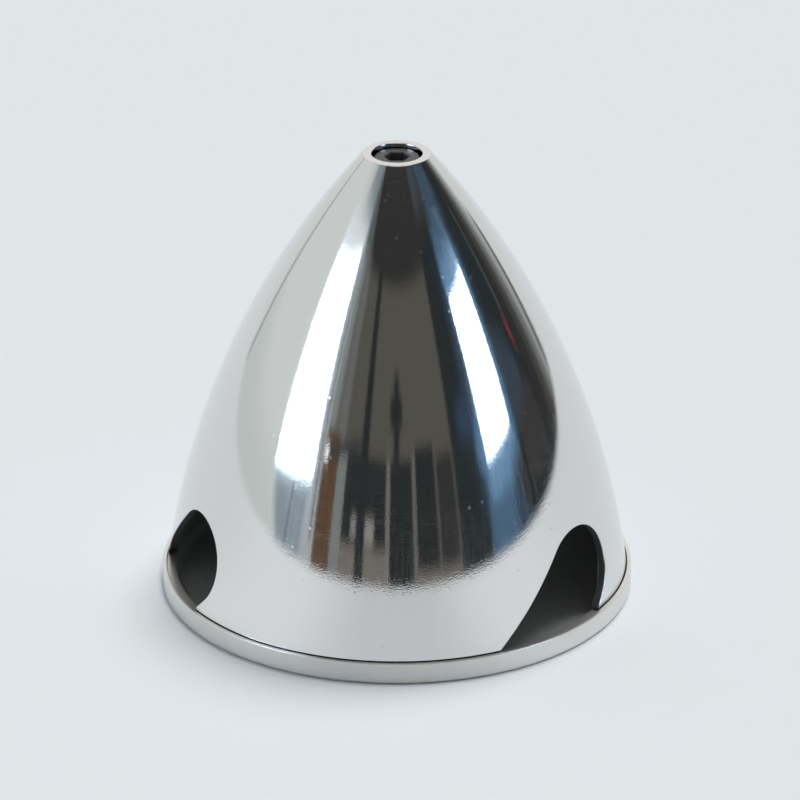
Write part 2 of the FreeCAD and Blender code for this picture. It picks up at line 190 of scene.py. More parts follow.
class Paint(Graph):
    """A shader tree, with the maths of surfaces turned about the Z axis."""

    EDGE_SAMPLES = 6

    def step(self, value: Value, low: float, high: float) -> Channel:
        """Rise smoothly from 0 at low to 1 at high, or fall if high is the smaller."""
        start, end = (0.0, 1.0) if high > low else (1.0, 0.0)
        inputs = {"Value": value, "From Min": min(low, high), "From Max": max(low, high)}
        inputs.update({"To Min": start, "To Max": end})
        return self.output(self.add("ShaderNodeMapRange", inputs, interpolation_type="SMOOTHSTEP"), "Result")

    def mix(self, factor: Value, first: Any, second: Any) -> NodeSocket:
        """Blend two colours, each a socket or three numbers."""
        sides = {"Factor_Float": factor}
        for key, side in (("A_Color", first), ("B_Color", second)):
            sides[key] = side if isinstance(side, NodeSocket) else (*side, 1.0)
        return self.pick(self.add("ShaderNodeMix", sides, data_type="RGBA").outputs, "Result_Color")

    def noise(self, place: Any, scale: float = 1.0, detail: float = 3.0, roughness: float = 0.5) -> Channel:
        """Smooth noise from 0 to 1 over a vector."""
        inputs = {"Vector": place, "Scale": scale, "Detail": detail, "Roughness": roughness}
        return self.output(self.add("ShaderNodeTexNoise", inputs), 0)

    def place(self) -> tuple[Channel, ...]:
        """The coordinates of the place on the piece."""
        return self.split(self.add("ShaderNodeTexCoord").outputs["Object"])

    def rings(self, length: float, gap: float) -> NodeSocket:
        """A vector whose noise is drawn out round the piece, in marks of a length and a gap."""
        x, y, z = self.place()
        radius = self.maths("SQRT", x * x + y * y)
        return self.combine(x / length, y / length, (z - radius) / gap)

    def ribs(self, count: float, length: float) -> NodeSocket:
        """A vector whose noise is drawn out up the piece, in streaks that narrow with its radius."""
        x, y, z = self.place()
        radius = self.maths("SQRT", x * x + y * y) + SAME_POINT
        return self.combine(x / radius * count, y / radius * count, z / length)

    def worn_edge(self, radius: float) -> NodeSocket:
        """A normal that turns smoothly round every edge, as a broken edge does."""
        return self.add("ShaderNodeBevel", {"Radius": radius}, samples=self.EDGE_SAMPLES).outputs[0]

    def bump(self, height: Channel, distance: float, normal: NodeSocket) -> NodeSocket:
        """A normal that is tilted by a height of 0 to 1 times a distance in metres."""
        inputs = {"Height": height, "Distance": distance, "Strength": 1.0, "Normal": normal}
        return self.add("ShaderNodeBump", inputs).outputs[0]


class Recipe(Graph):
    """A geometry tree with named inputs."""

    SHARP_BEND = math.radians(28.0)

    def __init__(self, name: str) -> None:
        """Make an empty tree with its input and output nodes."""
        super().__init__(bpy.data.node_groups.new(name, "GeometryNodeTree"))
        self.tree.interface.new_socket("Geometry", in_out="OUTPUT", socket_type="NodeSocketGeometry")
        self.entry, self.exit = self.add("NodeGroupInput"), self.add("NodeGroupOutput")

    def knob(self, name: str, kind: str) -> Channel:
        """Add a named input, such as a Float, an Int, an Object or a Material."""
        self.tree.interface.new_socket(name, in_out="INPUT", socket_type=f"NodeSocket{kind}")
        return self.output(self.entry, name)

    def shape(self, blank: Channel) -> NodeSocket:
        """The geometry of the object at a named input."""
        return self.add("GeometryNodeObjectInfo", {"Object": blank}).outputs["Geometry"]

    def through(
        self, geometry: NodeSocket, kind: str, inputs: Optional[Inputs] = None, **settings: Any
    ) -> NodeSocket:
        """Pass geometry through a node, in at its first socket and out at its first."""
        return self.add(kind, {**(inputs or {}), 0: geometry}, **settings).outputs[0]

    def close(self, geometry: NodeSocket, material: Channel) -> None:
        """End the tree: make instances real, mark sharp edges and set the material."""
        bend = self.output(self.add("GeometryNodeInputMeshEdgeAngle"), 0)
        sharp = {"Selection": self.maths("GREATER_THAN", bend, self.SHARP_BEND), "Shade Smooth": False}
        real = self.through(geometry, "GeometryNodeRealizeInstances")
        smooth = self.through(real, "GeometryNodeSetShadeSmooth", {"Shade Smooth": True}, domain="FACE")
        edged = self.through(smooth, "GeometryNodeSetShadeSmooth", sharp, domain="EDGE")
        last = self.through(edged, "GeometryNodeSetMaterial", {"Material": material})
        self.feed(self.exit.inputs[0], last)

    def make(self, name: str, knobs: Mapping[str, Any]) -> Object:
        """Run the tree once and keep its result as a plain mesh.

        Args:
            name: The new object's name.
            knobs: A value for each named input.

        Returns:
            The object, with no modifier left on it.
        """
        seed = bpy.data.meshes.new(name)
        piece = place(name, seed)
        modifier = piece.modifiers.new(name, "NODES")
        modifier.node_group = self.tree
        sockets = {item.name: item.identifier for item in self.tree.interface.items_tree}
        for label, value in knobs.items():
            modifier[sockets[label]] = value
        depsgraph = bpy.context.evaluated_depsgraph_get()
        piece.data = bpy.data.meshes.new_from_object(piece.evaluated_get(depsgraph), depsgraph=depsgraph)
        piece.modifiers.clear()
        piece.data.name = name
        bpy.data.meshes.remove(seed)
        return piece


# ---- Outlines and turned pieces ----


def place(name: str, data: ID) -> Object:
    """Make an object of a datablock and put it in the scene."""
    piece = bpy.data.objects.new(name, data)
    bpy.context.scene.collection.objects.link(piece)
    return piece


def plain(name: str, points: Iterable[Sequence[float]], edges: Sequence, faces: Sequence) -> Object:
    """An object of points, and of edges or faces between them."""
    mesh = bpy.data.meshes.new(name)
    mesh.from_pydata(list(points), edges, faces)
    return place(name, mesh)


def arc(centre: Point, radius: float, start: float, end: float, steps: int) -> list[Point]:
    """Points of an arc between two angles in radians, one more than its steps."""
    turns = np.linspace(start, end, steps + 1)
    return [(centre[0] + radius * math.cos(t), centre[1] + radius * math.sin(t)) for t in turns]


def line(start: Point, end: Point, steps: int) -> list[Point]:
    """Points evenly spaced from start towards end, without the end."""
    shares = np.arange(steps) / steps
    return [(start[0] + (end[0] - start[0]) * s, start[1] + (end[1] - start[1]) * s) for s in shares]


def wire_ring(name: str, corners: Sequence[Point]) -> Object:
    """A closed wire by radius and height, its height along -Y as the lathe wants it."""
    edges = [(k, (k + 1) % len(corners)) for k in range(len(corners))]
    return plain(name, [(across, -up, 0.0) for across, up in corners], edges, [])


def tower(name: str, rings: Sequence[Sequence[tuple[float, float, float]]]) -> Object:
    """A closed block skinned over rings of points, from its low end to its high one.

    Args:
        name: The block's name.
        rings: Rings of as many points each, anticlockwise seen from the high end.

    Returns:
        The block.
    """
    count = len(rings[0])
    last = count * (len(rings) - 1)
    sides = [
        (base + k, base + (k + 1) % count, base + (k + 1) % count + count, base + k + count)
        for base in range(0, last, count)
        for k in range(count)
    ]
    ends = [tuple(reversed(range(count))), tuple(range(last, last + count))]
    return plain(name, [point for ring in rings for point in ring], [], sides + ends)


def scrap(*tools: Object) -> None:
    """Delete wires, blanks and cutters that have been used."""
    for tool in tools:
        mesh = tool.data
        bpy.data.objects.remove(tool)
        bpy.data.meshes.remove(mesh)


class Lathe(Recipe):
    """Turns a closed wire round the Z axis, then cuts equal pockets round the axis."""

    MANDREL = 1.0 * MM

    def __init__(self, name: str, cuts: bool) -> None:
        """Build the tree, which may have a cutter to repeat round the axis.

        Args:
            name: The tree's name.
            cuts: Whether it has the cutter.
        """
        super().__init__(name)
        profile, segments = self.knob("Profile", "Object"), self.knob("Segments", "Int")
        mandrel, material = self.knob("Mandrel", "Float"), self.knob("Material", "Material")
        shift = self.combine(mandrel * -1.0, 0.0, 0.0)
        wire = self.through(self.shape(profile), "GeometryNodeMeshToCurve")
        wire = self.through(wire, "GeometryNodeTransform", {"Translation": shift})
        circle = self.add("GeometryNodeCurvePrimitiveCircle", {"Resolution": segments, "Radius": mandrel})
        turned = self.through(circle.outputs[0], "GeometryNodeCurveToMesh", {"Profile Curve": wire})
        merge = ("GeometryNodeMergeByDistance", {"Distance": SAME_POINT})
        body = self.through(self.through(turned, *merge), "GeometryNodeFlipFaces")
        if cuts:
            body = self.through(self._cut(body), *merge)
        self.close(body, material)

    def _cut(self, body: NodeSocket) -> NodeSocket:
        """Take the cutter's copies out of the body."""
        cutter, count = self.knob("Cutter", "Object"), self.knob("Cutters", "Int")
        index = self.output(self.add("GeometryNodeInputIndex"), 0)
        turn = self.combine(0.0, 0.0, index * AXIS_TURN / count)
        seats = self.add("GeometryNodePoints", {"Count": count}).outputs[0]
        copies = {"Instance": self.shape(cutter), "Rotation": turn}
        spread = self.through(seats, "GeometryNodeInstanceOnPoints", copies)
        spread = self.through(spread, "GeometryNodeRealizeInstances")
        both = {"Mesh 1": body, "Mesh 2": spread}
        return self.add("GeometryNodeMeshBoolean", both, operation="DIFFERENCE", solver="EXACT").outputs[0]


def turn_piece(
    name: str,
    corners: Sequence[Point],
    segments: int,
    material: Material,
    cutter: Optional[Object] = None,
    cutters: int = 1,
) -> Object:
    """Turn a section round the Z axis and cut pockets in it.

    Args:
        name: The piece's name.
        corners: Its half section, radius and height of each point.
        segments: How many facets go round.
        material: Its main finish.
        cutter: A block to take out of it.
        cutters: How many equal copies of the block go round the axis.

    Returns:
        The piece as a plain mesh with its faces outwards.
    """
    tools = {"Profile": wire_ring(f"{name}_section", corners)}
    knobs = {"Segments": segments, "Mandrel": Lathe.MANDREL, "Material": material}
    if cutter is not None:
        tools["Cutter"] = cutter
        knobs["Cutters"] = cutters
    piece = Lathe(f"{name}_lathe", cutter is not None).make(name, {**tools, **knobs})
    scrap(*tools.values())
    return piece


def pull(rows: Any, field: str, width: int = 1, kind: type = np.float32) -> np.ndarray:
    """One field of all vertices, corners or polygons of a mesh, as rows of a width."""
    numbers = np.zeros(len(rows) * width, kind)
    rows.foreach_get(field, numbers)
    return numbers.reshape(-1, width) if width > 1 else numbers


def mesh_arrays(mesh: Mesh) -> tuple[np.ndarray, np.ndarray, np.ndarray]:
    """Numbers of a mesh for working out normals.

    Args:
        mesh: The mesh.

    Returns:
        The place of each corner, the polygon of each corner, and each polygon's normal.
    """
    corner_vertex = pull(mesh.loops, "vertex_index", kind=np.int32)
    totals = pull(mesh.polygons, "loop_total", kind=np.int32)
    corners = pull(mesh.vertices, "co", 3)[corner_vertex]
    flat = pull(mesh.polygons, "normal", 3)
    return corners.astype(float), np.repeat(np.arange(len(totals)), totals), flat.astype(float)


def face_middles(mesh: Mesh) -> tuple[np.ndarray, np.ndarray]:
    """Each face's mean distance from the axis, and its mean height."""
    corners, owner, _ = mesh_arrays(mesh)
    shares = np.bincount(owner)
    reach = np.hypot(corners[:, 0], corners[:, 1])
    return np.bincount(owner, reach) / shares, np.bincount(owner, corners[:, 2]) / shares


def refinish(mesh: Mesh, materials: Sequence[Material], slots: np.ndarray) -> None:
    """Give a piece its finishes.

    Args:
        mesh: The piece's mesh.
        materials: The finishes.
        slots: Which of them each face takes.
    """
    mesh.materials.clear()
    for material in materials:
        mesh.materials.append(material)
    mesh.polygons.foreach_set("material_index", slots.astype(np.int32))


# ---- Finishes ----


def shade(*levels: float) -> Colour:
    """A colour given on the display's scale of 0 to 255, as the linear one that shaders take."""
    shares = [level / 255 for level in levels]
    return tuple(s / 12.92 if s <= 0.04045 else ((s + 0.055) / 1.055) ** 2.4 for s in shares)


class Slot(Enum):
    """The record's slots, by name."""

    POLISHED = "polished_aluminium"
    TURNED = "turned_aluminium"
    BLACK_OXIDE = "black_oxide_steel"


@dataclass(frozen=True)
class Finish:
    """A metal with a finish. The fields here are the same all over the surface."""

    name: str
    colour: Colour
    roughness: float
    anisotropy: float = 0.0
    metallic: float = 1.0
    edge: float = 0.1 * MM

    def build(self) -> Material:
        """Make the finish's material."""
        material = bpy.data.materials.new(self.name)
        material.use_nodes = True
        paint = Paint(material.node_tree)
        paint.add("ShaderNodeOutputMaterial", {"Surface": self.skin(paint)})
        return material

    def skin(self, paint: Paint) -> NodeSocket:
        """The whole surface as a shader."""
        return self.metal(paint, self.roughness, self.anisotropy, self.detail(paint))

    def metal(
        self, paint: Paint, roughness: float, anisotropy: float, detail: Mapping[str, Any]
    ) -> NodeSocket:
        """One lobe of the surface as a shader."""
        surface = {
            "Base Color": (*self.colour, 1.0),
            "Metallic": self.metallic,
            "Roughness": roughness,
            "Anisotropic": anisotropy,
            "Anisotropic Rotation": 0.25,
            **detail,
        }
        return paint.add("ShaderNodeBsdfPrincipled", surface).outputs[0]

    def detail(self, paint: Paint) -> dict[str, Any]:
        """What changes over the surface, by the shader's sockets."""
        return {"Normal": paint.worn_edge(self.edge)}


@dataclass(frozen=True)
class Polish(Finish):
    """A mirror polish with a little haze: hairlines round the piece, streaks up it, a few specks, and a dark
    band of painted shade at the seam.
    """

    seam: float = -1.0
    # Painted shade: a dark band above the seam, with its height, its solid share and its colour.
    seam_shade: float = 0.22 * MM
    seam_shade_core: float = 0.6
    seam_shade_colour: Colour = (0.02, 0.02, 0.022)
    haze: float = 0.018
    haze_roughness: float = 0.20
    haze_anisotropy: float = 0.7
    hairline_gap: float = 0.16 * MM
    hairline_length: float = 5.0 * MM
    hairline_haze: float = 0.18
    hairline_levels: Point = (0.52, 0.68)
    streaks: float = 110.0
    streak_length: float = 7.0 * MM
    streak_haze: float = 0.07
    streak_levels: Point = (0.45, 0.68)
    streak_roughness: float = 0.02
    cloud_size: float = 14.0 * MM
    cloud_levels: Point = (0.38, 0.62)
    cloud_roughness: float = 0.012
    speck_gap: float = 1.4 * MM
    speck_share: float = 0.05
    speck_radii: Point = (0.256, 0.16)
    grain_gap: float = 0.31 * MM
    grain_length: float = 0.40 * MM
    grain_depth: float = 0.0045 * MM

    def skin(self, paint: Paint) -> NodeSocket:
        """A mirror and a haze, the haze more where the polish is marked and full in the seam, where a dark
        band of painted shade also goes into the colour.
        """
        x, y, height = paint.place()
        cloud = paint.noise(paint.combine(x, y, height), 1 / self.cloud_size)
        hair = paint.noise(paint.rings(self.hairline_length, self.hairline_gap), detail=1.0)
        hairline = paint.step(hair, *self.hairline_levels) * paint.step(cloud, *self.cloud_levels)
        rib = paint.noise(paint.ribs(self.streaks, self.streak_length), roughness=0.7)
        streak = paint.step(rib, *self.streak_levels)
        # Painted shade: the shell's colour runs dark in a band just above the seam with the backplate.
        seam_shade = paint.step(height, self.seam + self.seam_shade, self.seam + self.seam_shade_core * self.seam_shade)
        share = self.haze + hairline * self.hairline_haze + streak * self.streak_haze
        share = share + self._specks(paint, x, y, height) + seam_shade
        grain = paint.noise(paint.rings(self.grain_length, self.grain_gap), detail=1.0)
        shared = {
            "Base Color": paint.mix(seam_shade, self.colour, self.seam_shade_colour),
            "Normal": paint.bump(grain, self.grain_depth, paint.worn_edge(self.edge)),
        }
        rough = self.roughness + cloud * self.cloud_roughness + streak * self.streak_roughness
        mirror = self.metal(paint, self.roughness, self.anisotropy, {**shared, "Roughness": rough})
        haze = self.metal(paint, self.haze_roughness, self.haze_anisotropy, shared)
        return paint.add("ShaderNodeMixShader", {0: share, 1: mirror, 2: haze}).outputs[0]

    def _specks(self, paint: Paint, x: Channel, y: Channel, height: Channel) -> Channel:
        """Small pits scattered thinly over the polish, each 1 at its middle."""
        inputs = {"Vector": paint.combine(x, y, height), "Scale": 1 / self.speck_gap}
        cells = paint.add("ShaderNodeTexVoronoi", inputs)
        chance = paint.split(cells.outputs["Color"])[0]
        chosen = paint.maths("LESS_THAN", chance, self.speck_share)
        return chosen * paint.step(paint.output(cells, "Distance"), *self.speck_radii)


@dataclass(frozen=True)
class Turning(Finish):
    """A satin finish left by a turning tool, with fine grooves round the piece."""

    groove_gap: float = 0.12 * MM
    groove_length: float = 40.0 * MM
    groove_depth: float = 0.0012 * MM
    band_size: float = 1.5 * MM
    band_roughness: float = 0.06

    def detail(self, paint: Paint) -> dict[str, Any]:
        """Roughness in rings, and grooves as a bump."""
        band = paint.noise(paint.rings(self.groove_length, self.band_size))
        groove = paint.noise(paint.rings(self.groove_length, self.groove_gap), detail=1.0)
        return {
            "Roughness": self.roughness + (band - 0.5) * self.band_roughness,
            "Normal": paint.bump(groove, self.groove_depth, paint.worn_edge(self.edge)),
        }


@dataclass(frozen=True)
class CutWall(Finish):
    """A milled wall painted dark as shade, with a painted highlight line along its rounded broken edges."""

    highlight_colour: Colour = (0.9, 0.9, 0.91)
    highlight_roughness: float = 0.2
    highlight_levels: Point = (0.998, 0.97)

    def detail(self, paint: Paint) -> dict[str, Any]:
        """A wall painted dark as shade, painted bright and smooth as a highlight where an edge is rounded.
        """
        edge = paint.worn_edge(self.edge)
        true = paint.add("ShaderNodeNewGeometry").outputs["True Normal"]
        facing = paint.add("ShaderNodeVectorMath", {0: edge, 1: true}, operation="DOT_PRODUCT")
        # Painted highlight: where the rounded normal turns away from the face, the colour goes bright, the
        # metal full and the roughness low.
        line = paint.step(paint.output(facing, "Value"), *self.highlight_levels)
        return {
            "Base Color": paint.mix(line, self.colour, self.highlight_colour),
            "Metallic": self.metallic + (1.0 - self.metallic) * line,
            "Roughness": self.roughness - (self.roughness - self.highlight_roughness) * line,
            "Normal": edge,
        }


@dataclass(frozen=True)
class BlackOxide(Finish):
    """Black oxide on steel, with a slightly mottled sheen."""

    mottle_size: float = 0.5 * MM
    mottle_levels: Point = (0.35, 0.75)
    mottle_roughness: float = 0.2
    worn: float = 1.7

    def detail(self, paint: Paint) -> dict[str, Any]:
        """Colour and roughness that vary in small spots."""
        mottle = paint.noise(paint.combine(*paint.place()), 1 / self.mottle_size)
        worn = tuple(self.worn * level for level in self.colour)
        return {
            "Base Color": paint.mix(paint.step(mottle, *self.mottle_levels), self.colour, worn),
            "Roughness": self.roughness + (mottle - 0.5) * self.mottle_roughness,
            "Normal": paint.worn_edge(self.edge),
        }


MIRROR = (0.765, 0.757, 0.748)
POLISHED = Polish("polished_aluminium_mirror", MIRROR, 0.030, 0.5, edge=0.22 * MM)
TURNED = Turning("turned_aluminium_satin", (0.75, 0.74, 0.715), 0.30, 0.5, 0.8, groove_depth=0.0003 * MM)
# Painted shade: a darker copy of the turned finish for the shell's inside and the plate's dish.
SHADED_INSIDE = Turning("turned_aluminium_inside_painted_shade", (0.42, 0.44, 0.425), 0.6, 0.2, 0.2, groove_depth=0.0003 * MM)
# Painted shade and highlight: the cut walls are dark by colour, with a bright line at their edges.
CUT = CutWall("opening_wall_painted_shade_and_highlight", (0.12, 0.123, 0.125), 0.55, 0.2, 0.6, edge=0.45 * MM)
BLACKENED = BlackOxide("black_oxide_skin", (0.085, 0.085, 0.089), 0.36)
# Painted shade: a darker, non-metal copy of the black oxide for the recess of the socket.
SOCKET_SHADE = BlackOxide("black_oxide_socket_painted_shade", (0.045, 0.045, 0.047), 0.6, metallic=0.0)
BRIGHT = Turning("bright_steel_turned", (0.40, 0.40, 0.41), 0.30, 0.4)


# ---- The spinner's pieces ----


@dataclass(frozen=True)
class Ogive:
    """The circular arc that the shell's outside is turned to."""

    foot: Point
    nose: Point
    radius: float

    @property
    def centre(self) -> Point:
        """Centre of the arc, on the far side of the axis."""
        chord = np.subtract(self.nose, self.foot)
        length = float(np.linalg.norm(chord))
        left = np.array([-chord[1], chord[0]]) / length
        middle = np.add(self.foot, self.nose) / 2
        pivot = middle + left * math.sqrt(self.radius**2 - (length / 2) ** 2)
        return float(pivot[0]), float(pivot[1])

    def reach(self, height: float, depth: float) -> float:
        """Distance from the axis to the arc that lies a depth inside this one, at a height."""
        return self.centre[0] + math.sqrt((self.radius - depth) ** 2 - (height - self.centre[1]) ** 2)

    def angle(self, height: float, depth: float) -> float:
        """Angle about the centre of the point at a height on the arc a depth inside this one."""
        return math.asin((height - self.centre[1]) / (self.radius - depth))


@dataclass(frozen=True)
class BladeOpening:
    """The leaning slot that lets one blade's root through the shell."""

    axis_rise: float = 9.4 * MM
    width: float = 17.5 * MM
    lean: float = math.radians(45.0)
    foot_round: float = 0.8 * MM
    arc_steps: int = 64
    round_steps: int = 8

    def outline(self, foot: float) -> list[Point]:
        """The slot's outline along the tangent and the height, run out below the shell's foot."""
        lean, half, low = self.lean, self.width / 2, foot / 2
        axis = np.array([0.0, foot + self.axis_rise])
        down = np.array([-math.sin(lean), -math.cos(lean)])
        across = np.array([-math.cos(lean), math.sin(lean)])
        starts = [axis + across * side * (half + self.foot_round) for side in (1.0, -1.0)]
        open_pip, shut_pip = (
            tuple(start + down * (start[1] - foot - self.foot_round) / math.cos(lean)) for start in starts
        )
        top = arc(tuple(axis), half, -lean, math.pi - lean, self.arc_steps)
        open_round = arc(open_pip, self.foot_round, -lean, -math.pi / 2, self.round_steps)
        shut_round = arc(shut_pip, self.foot_round, 1.5 * math.pi, math.pi - lean, self.round_steps)
        return top + open_round + [(open_round[-1][0], low), (shut_round[0][0], low)] + shut_round


@dataclass
class Shell:
    """The polished ogive shell with a leaning opening for each blade."""

    ogive_radius: float = 163.6 * MM
    wall: float = 1.7 * MM
    nose_radius: float = 6.3 * MM
    nose_edge: float = 0.3 * MM
    counterbore_radius: float = 4.7 * MM
    counterbore_edge: float = 0.15 * MM
    counterbore_depth: float = 5.7 * MM
    roof_web: float = 7.5 * MM
    roof_fillet: float = 3.0 * MM
    screw_hole_radius: float = 2.75 * MM
    blades: int = 3
    segments: int = 300
    arc_steps: int = 110
    fine_steps: int = 10
    opening: BladeOpening = BladeOpening()

    CUTTER_REACH = 1.2
    NEAR_ARC = 0.003 * MM
    FACING_OUT = 0.95

    def __post_init__(self) -> None:
        """Take the shell's ends from the frame."""
        low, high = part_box("spinner_cone")
        self.foot_height, self.nose_height = low.z, high.z
        self.ogive = Ogive((-low.y, low.z), (self.nose_radius, high.z), self.ogive_radius)

    def section(self) -> list[Point]:
        """The shell's half section, anticlockwise from the foot's outer corner."""
        ogive, top, quarter = self.ogive, self.nose_height, math.pi / 2
        seat = top - self.counterbore_depth
        roof = seat - self.roof_web
        edge_height, round_height = top - self.nose_edge, roof - self.roof_fillet
        round_depth = self.wall + self.roof_fillet
        edge_pip = (ogive.reach(edge_height, self.nose_edge), edge_height)
        roof_pip = (ogive.reach(round_height, round_depth), round_height)
        edge_turn = ogive.angle(edge_height, self.nose_edge)
        roof_turn = ogive.angle(round_height, round_depth)
        outer_turn, inner_turn = (ogive.angle(self.foot_height, depth) for depth in (0.0, self.wall))
        bore, hole, land = self.counterbore_radius, self.screw_hole_radius, self.counterbore_edge
        return [
            *arc(ogive.centre, ogive.radius, outer_turn, edge_turn, self.arc_steps),
            *arc(edge_pip, self.nose_edge, edge_turn, quarter, self.fine_steps)[1:],
            (bore + land, top),
            (bore, top - land),
            (bore, seat),
            (hole, seat),
            (hole, roof),
            *arc(roof_pip, self.roof_fillet, quarter, roof_turn, self.fine_steps),
            *arc(ogive.centre, ogive.radius - self.wall, roof_turn, inner_turn, self.arc_steps)[1:],
        ]

    def build(self) -> Object:
        """Make the shell and give each side of it its finish."""
        outline = self.opening.outline(self.foot_height)
        reaches = (self.nose_radius, self.CUTTER_REACH * self.ogive.foot[0])
        cutter = tower("opening_cutter", [[(reach, *point) for point in outline] for reach in reaches])
        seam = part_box("backplate")[1].z
        finishes = [replace(POLISHED, seam=seam).build(), CUT.build(), SHADED_INSIDE.build()]
        piece = turn_piece("spinner_shell", self.section(), self.segments, finishes[0], cutter, self.blades)
        self._dress(piece.data, finishes)
        return piece

    def _dress(self, mesh: Mesh, finishes: Sequence[Material]) -> None:
        """Set exact normals on both arcs, and finish the outside, the cut walls and the inside; the cut
        walls and the inside are painted darker as shade.
        """
        corners, owner, flat = mesh_arrays(mesh)
        reach = np.hypot(corners[:, 0], corners[:, 1])
        from_centre = np.stack([reach, corners[:, 2]], axis=1) - self.ogive.centre
        distance = np.linalg.norm(from_centre, axis=1)
        tilt = from_centre / distance[:, None]
        out = corners[:, :2] / np.maximum(reach, SAME_POINT)[:, None]
        exact = np.column_stack([out * tilt[:, :1], tilt[:, 1]])
        normals = pull(mesh.corner_normals, "vector", 3)
        arcs = []
        for depth, sign in ((0.0, 1.0), (self.wall, -1.0)):
            off = np.abs(distance - (self.ogive.radius - depth)) > self.NEAR_ARC
            off |= np.einsum("ij,ij->i", exact * sign, flat[owner]) < self.FACING_OUT
            arcs.append(np.bincount(owner, off) == 0)
            chosen = arcs[-1][owner]
            normals[chosen] = (exact * sign)[chosen]
        nose = face_middles(mesh)[1] > self.nose_height - self.counterbore_depth
        # Painted shade: the inner arc takes the darker inside copy, and the cut walls their dark colour.
        refinish(mesh, finishes, np.where(arcs[0] | nose, 0, np.where(arcs[1], 2, 1)))
        mesh.normals_split_custom_set(normals.tolist())


@dataclass
class Backplate:
    """The dished backplate with its stepped rim."""

    lip_width: float = 0.77 * MM
    lip_step: float = 0.6 * MM
    lip_edge: float = 0.1 * MM
    rim_edge: float = 0.15 * MM
    rim_foot: float = 0.3 * MM
    rim_bore: float = 41.93 * MM
    web: float = 1.2 * MM
    dish_fillet: float = 1.5 * MM
    hub_radius: float = 17.0 * MM
    hub_edge: float = 0.4 * MM
    bore: float = 5.05 * MM
    bore_edge: float = 0.4 * MM
    segments: int = 300
    fine_steps: int = 8

    def __post_init__(self) -> None:
        """Take the rim from the frame."""
        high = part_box("backplate")[1]
        self.rim_radius, self.rim_height = high.x, high.z

    def section(self) -> list[Point]:
        """The plate's half section, anticlockwise from the bore's rear mouth."""
        top, quarter = self.rim_height, math.pi / 2
        seat = top - self.lip_step
        register = self.rim_radius - self.lip_width
        edge_pip = (self.rim_radius - self.rim_edge, top - self.rim_edge)
        rim_pip = (self.rim_bore - self.dish_fillet, self.web + self.dish_fillet)
        hub_pip = (self.hub_radius + self.dish_fillet, self.web + self.dish_fillet)
        wall = line((self.rim_radius, self.rim_foot), (self.rim_radius, edge_pip[1]), self.fine_steps)
        return [
            (self.bore + self.bore_edge, 0.0),
            (self.rim_radius - self.rim_foot, 0.0),
            *wall,
            *arc(edge_pip, self.rim_edge, 0.0, quarter, self.fine_steps),
            (register + self.lip_edge, top),
            (register, top - self.lip_edge),
            (register, seat),
            (self.rim_bore, seat),
            *arc(rim_pip, self.dish_fillet, 0.0, -quarter, self.fine_steps),
            *arc(hub_pip, self.dish_fillet, -quarter, -2 * quarter, self.fine_steps),
            (self.hub_radius, top - self.hub_edge),
            (self.hub_radius - self.hub_edge, top),
            (self.bore + self.bore_edge, top),
            (self.bore, top - self.bore_edge),
            (self.bore, self.bore_edge),
        ]

    def build(self) -> Object:
        """Make the plate, with a darker copy of its finish painted in its dish as shade."""
        satin = TURNED.build()
        plate = turn_piece("spinner_backplate", self.section(), self.segments, satin)
        radius, height = face_middles(plate.data)
        dish = (radius < self.rim_bore + SAME_POINT) & (radius > self.bore + self.bore_edge) & (height > 0)
        # Painted shade: the dish takes the darker inside copy of the turned finish.
        refinish(plate.data, (satin, SHADED_INSIDE.build()), dish)
        return plate


class ScrewCutting(Recipe):
    """Raises a helical thread on a turned blank and presses a straight knurl into its head."""

    NEAR_SKIN = 0.9
    THREAD = ("Pitch", "Thread Low", "Thread High", "Thread Root", "Thread Depth")
    KNURL = ("Knurl Low", "Knurl High", "Knurl Radius", "Knurl Depth")

    def __init__(self, name: str) -> None:
        """Build the tree."""
        super().__init__(name)
        blank, knurls = self.knob("Blank", "Object"), self.knob("Knurls", "Int")
        pitch, low, high, root, depth = (self.knob(label, "Float") for label in self.THREAD)
        knurl_low, knurl_high, knurl_radius, knurl_depth = (
            self.knob(label, "Float") for label in self.KNURL
        )
        x, y, z = self.split(self.add("GeometryNodeInputPosition").outputs[0])
        radius = self.maths("SQRT", x * x + y * y)
        turns = self.maths("ARCTAN2", y, x) / AXIS_TURN
        helix = self.maths("PINGPONG", z / pitch - turns, 0.5) * 2.0
        fade = self._share((z - low) / pitch) * self._share((high - z) / pitch)
        raised = root + depth * helix * fade
        threaded = self._within(z, low, high) * self.maths("GREATER_THAN", radius, root * self.NEAR_SKIN)
        dent = self.maths("PINGPONG", turns * knurls, 0.5) * 2.0 * knurl_depth
        knurled = self._within(z, knurl_low, knurl_high)
        knurled = knurled * self.maths("GREATER_THAN", radius, knurl_radius * self.NEAR_SKIN)
        reach = radius + (raised - radius) * threaded - dent * knurled
        scale = reach / self.maths("MAXIMUM", radius, SAME_POINT)
        moved = {"Position": self.combine(x * scale, y * scale, z)}
        cut = self.through(self.shape(blank), "GeometryNodeSetPosition", moved)
        self.close(cut, self.knob("Material", "Material"))

    def _share(self, value: Channel) -> Channel:
        """A value held between 0 and 1."""
        return self.maths("MINIMUM", self.maths("MAXIMUM", value, 0.0), 1.0)

    def _within(self, value: Channel, low: Channel, high: Channel) -> Channel:
        """1 from low to high, with a hair's room, and 0 outside."""
        above = self.maths("GREATER_THAN", value, low - SAME_POINT)
        return above * self.maths("LESS_THAN", value, high + SAME_POINT)


def hexagon(flats: float, turn: float) -> list[Point]:
    """Corners of a hexagon by its width across flats, with a corner at an angle."""
    return arc((0.0, 0.0), flats / math.sqrt(3), turn, turn + AXIS_TURN * 5 / 6, 5)


